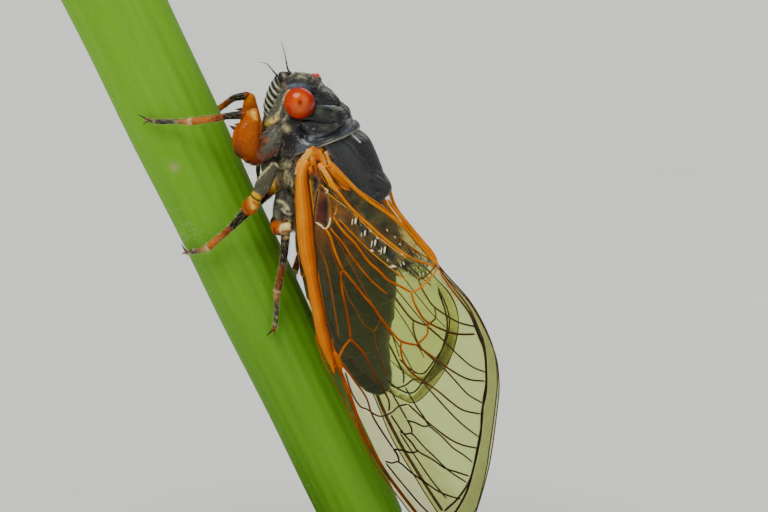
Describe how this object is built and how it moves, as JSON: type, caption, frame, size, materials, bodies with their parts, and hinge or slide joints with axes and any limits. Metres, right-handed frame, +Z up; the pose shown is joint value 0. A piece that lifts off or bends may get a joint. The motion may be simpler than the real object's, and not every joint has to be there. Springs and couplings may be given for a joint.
{
  "type": "cicada model",
  "caption": "Life-size periodical cicada at rest, gripping a cut green stem with its six legs, wings folded roof-like, held upright by a short rod on a flat round base.",
  "frame": {"origin": "centre of the underside of the stand's round base", "axes": "+Z up from the base, +X towards the side the animal's back faces, +Y away from the side the animal's left eye faces"},
  "size_m": [0.041, 0.041, 0.0602],
  "materials": {
    "shell_black": "satin black insect shell with fine pale down",
    "eye_red": "glossy red-orange compound eye",
    "feeler_black": "dull black",
    "leg_dark": "satin dark brown",
    "leg_amber": "satin amber with black bands",
    "wing_fore": "clear membrane with orange and brown veins",
    "wing_hind": "clear membrane with pale veins",
    "bark_green": "smooth green plant stem",
    "stand_grey": "satin dark grey paint",
    "stand_rod_grey": "satin grey paint"
  },
  "bodies": {
    "root": {"head": "shell_black", "eye_left": "eye_red", "eye_right": "eye_red", "antenna_left": "feeler_black", "antenna_right": "feeler_black", "rostrum": "feeler_black", "pronotum": "shell_black", "mesothorax": "shell_black", "abdomen": "shell_black", "forewing_left": "wing_fore", "forewing_right": "wing_fore", "hindwing_left": "wing_hind", "hindwing_right": "wing_hind", "front_left_coxa": "leg_dark", "front_left_femur": "leg_amber", "front_left_tibia": "leg_amber", "front_left_tarsus": "leg_amber", "front_right_coxa": "leg_dark", "front_right_femur": "leg_amber", "front_right_tibia": "leg_amber", "front_right_tarsus": "leg_amber", "mid_left_coxa": "leg_dark", "mid_left_femur": "leg_amber", "mid_left_tibia": "leg_amber", "mid_left_tarsus": "leg_amber", "mid_right_coxa": "leg_dark", "mid_right_femur": "leg_amber", "mid_right_tibia": "leg_amber", "mid_right_tarsus": "leg_amber", "hind_left_coxa": "leg_dark", "hind_left_femur": "leg_amber", "hind_left_tibia": "leg_amber", "hind_left_tarsus": "leg_amber", "hind_right_coxa": "leg_dark", "hind_right_femur": "leg_amber", "hind_right_tibia": "leg_amber", "hind_right_tarsus": "leg_amber", "perch_stem": "bark_green", "stand_base": "stand_grey", "stand_rod": "stand_rod_grey"}
  },
  "joints": []
}
